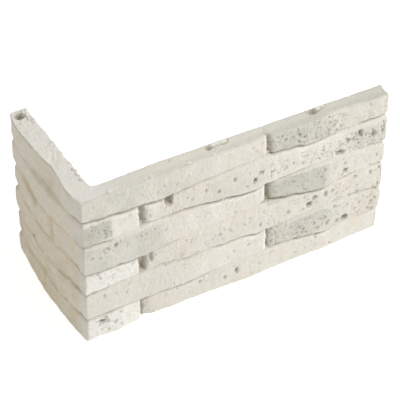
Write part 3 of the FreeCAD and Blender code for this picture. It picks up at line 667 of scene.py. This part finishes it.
def build_points(props):
    """Every ring of the casting and its marks, as one closed loop per column.

    On a leg a point stands its depth in front of the flat back. Quarter circles round the
    face off at the top, the base and the ends, and bell curves notch the ends at the joints.
    The corner's columns divide the way to where the legs' depths meet, and each point then
    moves towards the middle of its neighbours. A band under the short leg's upper edge is darkened.
    """
    short_y = shared_out(INNER_ROUND, SHORT_REACH - SHORT_GAP, COLUMNS_SHORT, CLOSE_SHORT, 4.0, 1.2)[::-1]
    long_x = shared_out(INNER_ROUND, LONG_REACH - LONG_GAP, COLUMNS_LONG, CLOSE_LONG, 4.0, 1.5)
    way = np.linspace(0, 1, COLUMNS_CORNER + 1)[1:]
    corner_y = INNER_ROUND - way * (INNER_ROUND + CORNER_SHORT)
    corner_x = INNER_ROUND - way[::-1][1:] * (INNER_ROUND + CORNER_LONG)
    y_short = np.concatenate([short_y, corner_y])
    x_long = np.concatenate([corner_x, long_x])
    u_line = np.concatenate([SHORT_ZERO - y_short, x_long])
    relief = Relief(u_line, props)
    depth, u, z = relief.depth, relief.u, relief.z

    end = np.minimum(u - u_line[0], u_line[-1] - u)
    depth -= edge_round(end, 0.45 + 0.2 * line_noise(z, 6.0, 91))
    foot_end = eased(u, 181.0, 188.7) * (1 - eased(z, 0.0, 5.5))
    depth -= 0.6 * foot_end
    depth -= edge_round(HEIGHT - z, along_face(TOP_EDGE, u, 1))
    depth -= edge_round(z, 0.45 + 0.2 * line_noise(u, 5.0, 92))

    pull = np.zeros_like(u)
    for above, share in relief.joints:
        notch = bell(above, 1.9)
        pull += (0.7 + 1.7 * share) * notch
        depth -= 1.5 * notch * bell(end, 4.5) * relief.side
    pull = (pull + 0.35 * (1 + line_noise(z, 4.0, 94))) * bell(end, 3.0)

    n_short = len(y_short)
    limit = np.where(u < -CORNER_LONG, DEPTH_LIMIT_SHORT, DEPTH_LIMIT_LONG) - FACE_GAP
    depth = np.minimum(depth, limit)
    x = np.empty_like(u)
    y = np.empty_like(u)
    x[:n_short] = -depth[:n_short]
    y[:n_short] = y_short[:, None] - pull[:n_short]
    x[n_short:] = x_long[:, None] - pull[n_short:]
    y[n_short:] = -depth[n_short:]

    corner_short = slice(n_short - COLUMNS_CORNER, n_short)
    corner_long = slice(n_short, n_short + COLUMNS_CORNER - 1)
    out_long = depth[n_short + 2]
    out_short = depth[n_short - 3]
    y[corner_short] = INNER_ROUND - way[:, None] * (INNER_ROUND + out_long[None, :])
    x[corner_long] = INNER_ROUND - way[::-1][1:, None] * (INNER_ROUND + out_short[None, :])
    nearness = bell(np.arange(len(u_line)) - (n_short - 0.5), 3.0)[1:-1, None]
    for _ in range(3):
        for line in (x, y):
            middle = (line[:-2] + line[2:]) / 2
            line[1:-1] += nearness * 0.8 * (middle - line[1:-1])

    # A band just under the short leg's top edge is darkened.
    arris = relief.side * bell(HEIGHT - z, 0.8) * (0.6 + 0.6 * relief.noise(3.0, 96))
    marks = {
        "grime": np.clip(relief.grime + 0.42 * arris, 0, 1),
        "tone": relief.tone(),
        "pitted": relief.pitted,
        "olive_and_shade": relief.olive_and_shade(),
        "ochre_and_side_shade": relief.ochre_and_side_shade(),
    }
    return close_rings(np.stack([x, y, z], axis=-1), inner_line(short_y, long_x), marks)


def inner_line(short_y, long_x):
    """Plan of the flat backs: straight, round the inner corner's quarter circle, straight."""
    turn = np.linspace(0, math.pi / 2, 2 * COLUMNS_CORNER + 1)[1:-1]
    arc_x = INNER_ROUND * (1 - np.cos(turn))
    arc_y = INNER_ROUND * (1 - np.sin(turn))
    x = np.concatenate([np.zeros_like(short_y), arc_x, long_x])
    y = np.concatenate([short_y, arc_y, np.zeros_like(long_x)])
    return x, y


def close_rings(outer, inner, marks):
    """Joins face, top, back and base into one loop per column, and fills the marks up.

    The top divides the way from the outer to the inner line into even steps. Along the inner
    line noise chips it, and on the long leg it rises to it by a cubic step. The back is
    straight, with rows close to both edges that keep them crisp, and the base is flat.
    """
    inner_x, inner_y = inner
    rows = outer.shape[1]
    start = outer[:, -1]
    steps = np.concatenate([(np.arange(ROWS_TOP - 1) + 1) / (ROWS_TOP - 1) - EDGE_STEP, [1.0]])
    top_x = start[:, None, 0] * (1 - steps) + inner_x[:, None] * steps
    top_y = start[:, None, 1] * (1 - steps) + inner_y[:, None] * steps
    top_z, top_mark, top_crumb_highlight = top_height(top_x, top_y)
    chips = line_noise(top_x + top_y, 3.4, 93) + 0.8 * line_noise(top_x + top_y, 1.3, 95)
    inner_side = bell(1 - steps, 0.10)
    top_z -= (0.1 + 0.55 * eased(top_y, 2.0, 6.0)) * (chips + 0.3) * inner_side
    top_z += BACK_EDGE_RISE * eased(top_x, 8.0, 40.0) * eased(steps, 0.35, 1.0)
    top_z = np.minimum(top_z, TOP_LIMIT)
    rim = np.minimum(steps * 4.0 + 0.4, 1.0)
    top = np.stack([top_x, top_y, HEIGHT + (top_z - HEIGHT) * rim], axis=-1)

    away = np.array([0.0] * len(BACK_LEVELS) + list(BASE_SHARES))
    level = np.array(list(BACK_LEVELS) + [0.0] * len(BASE_SHARES))
    closing = np.empty((outer.shape[0], len(away), 3))
    for axis in (0, 1):
        closing[..., axis] = inner[axis][:, None] * (1 - away) + outer[:, :1, axis] * away
    closing[..., 2] = top[:, -1:, 2] * level
    rings = np.concatenate([outer, top, closing], axis=1)
    full = {name: np.pad(mark, ((0, 0), (0, rings.shape[1] - rows))) for name, mark in marks.items()}
    top_rows = slice(rows, rows + ROWS_TOP)
    full["pitted"][:, rows + ROWS_TOP :] = 0.2
    # On the top: the holes' soiling and painted shade, the painted shadow round the crumbs, and the crumbs'
    # painted highlight.
    full["grime"][:, top_rows] = 0.85 * top_mark * (1 - top_crumb_highlight)
    full["olive_and_shade"][:, top_rows] = 0.7 * top_mark * (1 - top_crumb_highlight)
    full["tone"][:, top_rows] = along_face(TOP_TONE, top_x, 1) - 1.5 * top_crumb_highlight
    return rings, full


def cap(rings, last):
    """Rings that close one end: its loop drawn in towards its middle, step by step.

    At the same rate every point moves out to a plane just inside the box.
    """
    loop = rings[-1] if last else rings[0]
    axis, across, limit = (0, 1, LONG_REACH) if last else (1, 0, SHORT_REACH)
    low = loop.min(axis=0)
    high = loop.max(axis=0)
    shells = []
    for distance in CAP_RINGS:
        shell = loop.copy()
        for side in (across, 2):
            middle = (low[side] + high[side]) / 2
            half = (high[side] - low[side]) / 2
            shell[:, side] = middle + (loop[:, side] - middle) * (1 - distance / half)
        share = min(1.0, distance / CAP_RINGS[-1])
        shell[:, axis] = loop[:, axis] * (1 - share) + (limit - CAP_GAP) * share
        shells.append(shell)
    return shells


def casting_mesh(props):
    """The casting's mesh: quads between the columns' rings and a flat face at each end."""
    rings, marks = build_points(props)
    ring_size = rings.shape[1]
    stack = np.concatenate([cap(rings, False)[::-1], rings, cap(rings, True)])
    pad = len(CAP_RINGS)
    marks = {name: np.pad(mark, ((pad, pad), (0, 0)), mode="edge") for name, mark in marks.items()}
    total = stack.shape[0]
    index = np.arange(total * ring_size).reshape(total, ring_size)
    after = np.roll(index, -1, axis=1)
    quads = np.stack([index[:-1], index[1:], after[1:], after[:-1]], axis=-1).reshape(-1, 4)
    faces = quads.tolist()
    faces.append(index[0].tolist())
    faces.append(index[-1][::-1].tolist())
    mesh = bpy.data.meshes.new("cast_stone_face")
    mesh.from_pydata((stack.reshape(-1, 3) * MM).tolist(), [], faces)
    for name, mark in marks.items():
        layer = mesh.attributes.new(name, "FLOAT", "POINT")
        layer.data.foreach_set("value", mark.reshape(-1).astype(np.float32))
    mesh.polygons.foreach_set("use_smooth", [True] * (len(faces) - 2) + [False, False])
    mesh.update()
    return mesh


class Value:
    """A number in a node tree; arithmetic on it adds Math nodes."""

    def __init__(self, tree, socket):
        self.tree = tree
        self.socket = socket

    def math(self, operation, first, second):
        """One Math node over two values or plain numbers."""
        return self.tree.add("ShaderNodeMath", {"operation": operation}, {0: first, 1: second})

    def __add__(self, other):
        return self.math("ADD", self, other)

    def __radd__(self, other):
        return self.math("ADD", other, self)

    def __sub__(self, other):
        return self.math("SUBTRACT", self, other)

    def __rsub__(self, other):
        return self.math("SUBTRACT", other, self)

    def __mul__(self, other):
        return self.math("MULTIPLY", self, other)

    def __rmul__(self, other):
        return self.math("MULTIPLY", other, self)

    def step(self, low, high):
        """0 at low and 1 at high, smooth between them."""
        settings = {"interpolation_type": "SMOOTHSTEP"}
        return self.tree.add("ShaderNodeMapRange", settings, {0: self, 1: low, 2: high})


class Tree:
    """Adds nodes to one material."""

    def __init__(self, name):
        self.material = bpy.data.materials.new(name)
        self.material.use_nodes = True
        self.nodes = self.material.node_tree.nodes
        self.links = self.material.node_tree.links
        self.shader = self.nodes["Principled BSDF"]

    def add(self, kind, settings=None, inputs=None, output=0):
        """Adds one node: its settings first, then its sockets' values or links."""
        node = self.nodes.new(kind)
        for name, setting in (settings or {}).items():
            setattr(node, name, setting)
        for key, value in (inputs or {}).items():
            self.feed(node.inputs[key], value)
        return Value(self, node.outputs[output])

    def feed(self, socket, value):
        """Links a value to a socket, or sets the socket to a plain number or colour."""
        if isinstance(value, Value):
            self.links.new(value.socket, socket)
        else:
            socket.default_value = value

    def mark(self, name):
        """One of the mesh's own attributes, as a number."""
        return self.add("ShaderNodeAttribute", {"attribute_name": name}, output="Fac")

    def noise(self, place, size, detail, rough=0.5):
        """Noise from 0 to 1 with features of about a size in millimetres."""
        inputs = {"Vector": place, "Scale": 1 / (size * MM), "Detail": detail, "Roughness": rough}
        return self.add("ShaderNodeTexNoise", {}, inputs, "Fac")

    def pits(self, place, size, dense):
        """1 in small round pits and 0 between them.

        Space is split into cells of about a size in millimetres. Each has a random number,
        and a pit in its middle if that number is below the density.
        """
        inputs = {"Vector": place, "Scale": 1 / (size * MM)}
        distance = self.add("ShaderNodeTexVoronoi", {}, inputs, "Distance")
        cell = distance.socket.node.outputs["Color"]
        random = self.add("ShaderNodeSeparateColor", {}, {"Color": Value(self, cell)}, "Red")
        chosen = (dense - random).step(0.0, 0.3)
        return (1.0 - distance.step(0.1, 0.4)) * chosen

    def mix(self, share, first, second):
        """A colour between two, by a share."""
        settings = {"data_type": "RGBA"}
        return self.add("ShaderNodeMix", settings, {0: share, 6: first, 7: second}, 2)

    def finish(self, inputs):
        """Feeds the surface shader and hands back the material."""
        for name, value in inputs.items():
            self.feed(self.shader.inputs[name], value)
        return self.material


def colour(red, green, blue):
    """Linear colour from the display's numbers from 0 to 255."""
    linear = [((part / 255 + 0.055) / 1.055) ** 2.4 for part in (red, green, blue)]
    return (*linear, 1.0)


def stone_material(props):
    """Matt cast stone: grey and white stones, stains, soiling and painted shade in the joints and hollows,
    painted highlights, and fine grain.
    """
    tree = Tree("cast_stone")
    place = tree.add("ShaderNodeTexCoord", {}, {}, "Object")
    tone = tree.mark("tone")
    cloud = tree.noise(place, 14.0, 3.0)
    fleck = tree.noise(place, 1.6, 4.0, 0.65)
    fine = tree.noise(place, 0.55, 3.0, 0.6)
    large_pits = tree.pits(place, 1.9, tree.mark("pitted") * 0.7)
    small_pits = tree.pits(place, 1.1, tree.mark("pitted"))
    pits = 1.0 - (1.0 - large_pits) * (1.0 - small_pits)

    base = tree.mix(cloud.step(0.3, 0.7), tuple(props.stone), tuple(props.stone_warm))
    grey_share = (tone + 0.6 * (fleck - 0.5)).step(-0.1, 1.2)
    white_and_highlight_share = (0.0 - tone).step(0.1, 1.1)
    # Each mark, how strongly it colours the stone where it is full, and its colour. The white
    # share also carries painted highlights; the pits and the last mark darken as soiling and
    # painted shade.
    layers = (
        (grey_share, 0.9, props.grey_stone),
        (white_and_highlight_share, 0.8, props.white_stone_and_highlight),
        (tree.mark("ochre_and_side_shade"), 0.36, props.ochre_and_side_shade),
        (tree.mark("olive_and_shade"), 0.45, props.olive_and_shade),
        (fleck.step(0.60, 0.74) * 0.10 + fine.step(0.55, 0.75) * 0.06, 1.0, props.dirt_and_shade),
        (pits, 0.14, props.dirt_and_shade),
        (tree.mark("grime"), 0.66, props.dirt_and_shade),
    )
    for mark, strength, tint in layers:
        base = tree.mix(mark * strength, base, tuple(tint))
    rough = 0.86 - 0.08 * fleck
    grain = 0.3 * fine + 0.9 * fleck - 0.45 * pits
    inputs = {"Strength": 1.0, "Distance": props.grain_depth, "Height": grain}
    bump = tree.add("ShaderNodeBump", {}, inputs, "Normal")
    return tree.finish({"Base Color": base, "Roughness": rough, "Specular IOR Level": 0.25, "Normal": bump})


def plain_material(name, base, glow):
    """A plain matt surface of one colour that glows a little."""
    inputs = {
        "Base Color": base,
        "Roughness": 0.9,
        "Specular IOR Level": 0.1,
        "Emission Color": (1, 1, 1, 1),
        "Emission Strength": glow,
    }
    return Tree(name).finish(inputs)


def stone_colour(name, description, red, green, blue):
    """A colour to choose, whose default is given in the display's numbers."""
    return bpy.props.FloatVectorProperty(
        name=name, description=description, size=4, subtype="COLOR", default=colour(red, green, blue)
    )


class CladdingCast(bpy.types.PropertyGroup):
    """What a user would change on the casting."""

    waviness: bpy.props.FloatProperty(
        name="Waviness", description="How uneven the stones' faces are", default=0.001, unit="LENGTH"
    )
    grain_depth: bpy.props.FloatProperty(
        name="Grain depth", description="Depth of the finest grain", default=0.0010, unit="LENGTH"
    )
    stone: stone_colour("Stone", "Main colour", 225, 222, 213)
    stone_warm: stone_colour("Warm stone", "Warmer patches", 227, 222, 210)
    grey_stone: stone_colour("Grey stone", "Greyer stones", 199, 198, 188)
    # This colour also paints the highlights on lit edges, rims and crumbs.
    white_stone_and_highlight: stone_colour("White stone", "Whiter stones", 243, 241, 235)
    # The two stain colours below also paint shade: the yellow-brown one a warm painted shade over the short
    # leg, the green-brown one painted shade low on the short leg and round the top's holes and crumbs.
    ochre_and_side_shade: stone_colour("Ochre stain", "Yellow-brown stains", 224, 202, 162)
    olive_and_shade: stone_colour("Olive stain", "Stains in the joints", 172, 150, 104)
    # This colour also paints the shade under the ledges and in the slots and hollows.
    dirt_and_shade: stone_colour("Dirt", "Dirt in hollows", 112, 102, 76)


class CladdingStage(bpy.types.PropertyGroup):
    """What a user would change on the stage."""

    key_power: bpy.props.FloatProperty(
        name="Key light", description="Power of the main light in watts", default=11.55
    )
    sky: bpy.props.FloatProperty(
        name="Surrounding light", description="Strength of the even light", default=0.235
    )
    lens: bpy.props.FloatProperty(
        name="Lens", description="Focal length in millimetres", default=130.14, subtype="DISTANCE_CAMERA"
    )


class CLADDING_OT_casting(bpy.types.Operator):
    """Builds the coursed stone surface over the solid casting"""

    bl_idname = "cladding.casting"
    bl_label = "Casting"

    def execute(self, context):
        """Adds the piece and its material."""
        props = context.scene.cladding_cast
        piece = bpy.data.objects.new("cast_stone_face", casting_mesh(props))
        context.scene.collection.objects.link(piece)
        piece.data.materials.append(stone_material(props))
        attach(piece, "root")
        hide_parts(NODE)
        return {"FINISHED"}


# Where the camera stands and how it is turned, from the vanishing lines of the piece.
CAMERA_PLACE = (-0.251404, -0.542672, 0.587250)
CAMERA_RIGHT = (0.86551894, -0.50080008, 0.00873148)
CAMERA_UP = (0.31457245, 0.55706716, 0.76858334)


# What the lights aim at, and the lights: name, place, width, power as a share of the key
# light's, and tint.
AIM = (0.09, 0.01, 0.05)
LIGHTS = (
    ("key", (0.75, -0.75, 0.95), 0.5, 1.0, (1.0, 0.99, 0.97)),
    ("fill", (-1.1, 0.0, 0.6), 0.8, 0.072, (1.0, 0.87, 0.58)),
    ("overhead", (-0.1, 0.1, 1.3), 0.9, 0.50, (1.0, 1.0, 1.0)),
)
FLOOR_HALF = 12.0
FLOOR_TINT = (218, 218, 218)
FLOOR_GLOW = 0.62


def add_light(scene, name, place, size, power, tint):
    """One square soft light aimed at the middle of the piece."""
    lamp = bpy.data.lights.new(name, "AREA")
    lamp.size = size
    lamp.energy = power
    lamp.color = tint
    item = bpy.data.objects.new(name, lamp)
    turn = (Vector(AIM) - Vector(place)).to_track_quat("-Z", "Y")
    item.matrix_world = Matrix.Translation(place) @ turn.to_matrix().to_4x4()
    scene.collection.objects.link(item)


class CLADDING_OT_stage(bpy.types.Operator):
    """Sets the pale floor, the soft lights and the camera"""

    bl_idname = "cladding.stage"
    bl_label = "Stage"

    def execute(self, context):
        """Adds the floor, the lights and the camera."""
        scene = context.scene
        props = scene.cladding_stage
        half = FLOOR_HALF
        corners = [(-half, -half, 0), (half, -half, 0), (half, half, 0), (-half, half, 0)]
        mesh = bpy.data.meshes.new("floor")
        mesh.from_pydata(corners, [], [(0, 1, 2, 3)])
        floor = bpy.data.objects.new("floor", mesh)
        scene.collection.objects.link(floor)
        mesh.materials.append(plain_material("pale_floor", colour(*FLOOR_TINT), FLOOR_GLOW))

        world = bpy.data.worlds.new("studio")
        world.use_nodes = True
        background = world.node_tree.nodes["Background"].inputs
        background["Color"].default_value = (1, 1, 1, 1)
        background["Strength"].default_value = props.sky
        scene.world = world
        for name, place, size, share, tint in LIGHTS:
            add_light(scene, name, place, size, props.key_power * share, tint)

        view = bpy.data.cameras.new("view")
        view.lens = props.lens
        view.sensor_width = 36.0
        view.clip_start = 0.01
        camera = bpy.data.objects.new("view", view)
        right = Vector(CAMERA_RIGHT).normalized()
        up = Vector(CAMERA_UP).normalized()
        back = right.cross(up).normalized()
        turn = Matrix((right, back.cross(right), back)).transposed().to_4x4()
        camera.matrix_world = Matrix.Translation(CAMERA_PLACE) @ turn
        scene.collection.objects.link(camera)
        scene.camera = camera
        scene.view_settings.view_transform = "Standard"
        return {"FINISHED"}


class CLADDING_PT_sidebar(bpy.types.Panel):
    """Lists the casting's and the stage's sizes and colours"""

    bl_label = "Cladding corner"
    bl_space_type = "VIEW_3D"
    bl_region_type = "UI"
    bl_category = "Cladding"

    def draw(self, context):
        """Shows each group's values above its button."""
        groups = (("cladding_cast", CLADDING_OT_casting), ("cladding_stage", CLADDING_OT_stage))
        for group, operator in groups:
            box = self.layout.box()
            props = getattr(context.scene, group)
            for name in props.bl_rna.properties.keys():
                if name not in ("rna_type", "name"):
                    box.prop(props, name)
            box.operator(operator.bl_idname)


CLASSES = (CladdingCast, CladdingStage, CLADDING_OT_casting, CLADDING_OT_stage, CLADDING_PT_sidebar)


def register():
    """Registers the classes and gives the scene both groups."""
    for item in CLASSES:
        bpy.utils.register_class(item)
    bpy.types.Scene.cladding_cast = bpy.props.PointerProperty(type=CladdingCast)
    bpy.types.Scene.cladding_stage = bpy.props.PointerProperty(type=CladdingStage)


def unregister():
    """Takes away what register added."""
    del bpy.types.Scene.cladding_stage
    del bpy.types.Scene.cladding_cast
    for item in reversed(CLASSES):
        bpy.utils.unregister_class(item)


def main():
    register()
    bpy.ops.cladding.casting()
    bpy.ops.cladding.stage()


if __name__ == "__main__":
    main()
